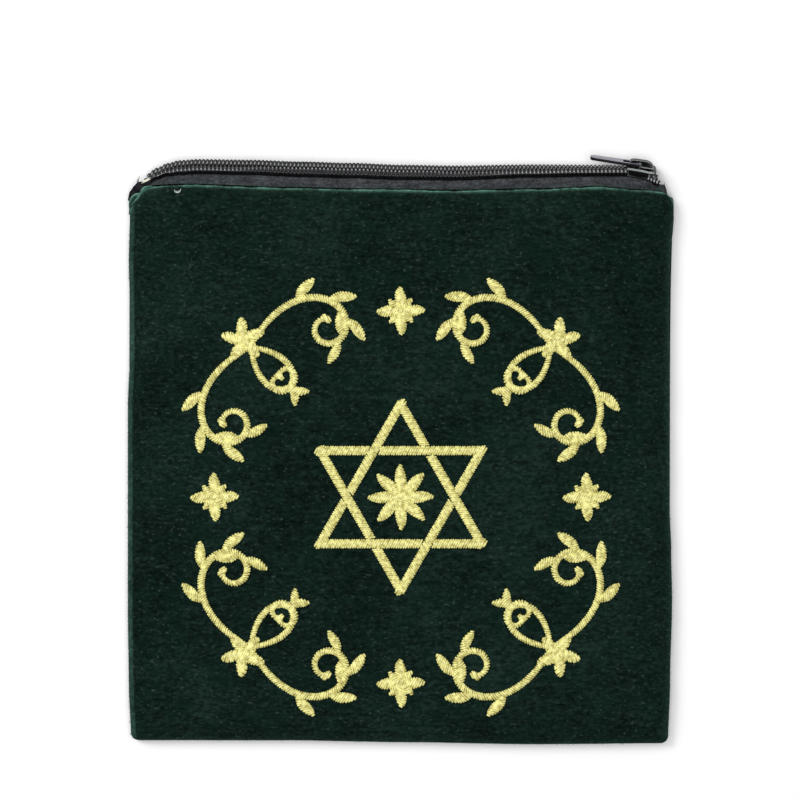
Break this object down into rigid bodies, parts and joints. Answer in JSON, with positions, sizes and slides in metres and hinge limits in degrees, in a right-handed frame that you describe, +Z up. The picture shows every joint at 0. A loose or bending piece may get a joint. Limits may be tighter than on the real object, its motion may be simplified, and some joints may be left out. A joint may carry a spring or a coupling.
{
  "type": "tallit bag",
  "caption": "Flat square velvet zip pouch with raised gold embroidery on its front, a coil zip along the top edge and a slider with a hinged pull tab.",
  "frame": {"origin": "under the middle of the bag's box, on the surface that the back lies on", "axes": "+X along the zip towards the slider, +Y from the bottom seam to the zip, +Z up out of the front panel"},
  "size_m": [0.2182, 0.2354, 0.0114],
  "materials": {
    "velvet": "dark green cut-pile velvet with a pale green sheen at grazing edges",
    "zip_tape": "black-grey woven tape",
    "zip_coil": "satin black nylon monofilament",
    "slider_enamel": "gloss black enamel",
    "gold_thread": "lustrous pale gold satin stitch"
  },
  "bodies": {
    "bag": {"front_panel": "velvet", "back_panel": "velvet", "zip_tape_front": "zip_tape", "zip_tape_back": "zip_tape", "zip_coil_front": "zip_coil", "zip_coil_back": "zip_coil", "slider_body": "slider_enamel", "spray_lower_left": "gold_thread", "spray_lower_right": "gold_thread", "spray_upper_left": "gold_thread", "spray_upper_right": "gold_thread", "star": "gold_thread", "rosette": "gold_thread", "floret_top": "gold_thread", "floret_bottom": "gold_thread", "floret_left": "gold_thread", "floret_right": "gold_thread"},
    "pull": {"pull_tab": "slider_enamel"}
  },
  "joints": [
    {"name": "pull_hinge", "type": "hinge", "parent": "bag", "child": "pull", "pos_m": [0.0945, 0.11382, 0.007], "axis": [0.0588, 0.4185, -0.9063], "range_deg": [0, 150]}
  ]
}
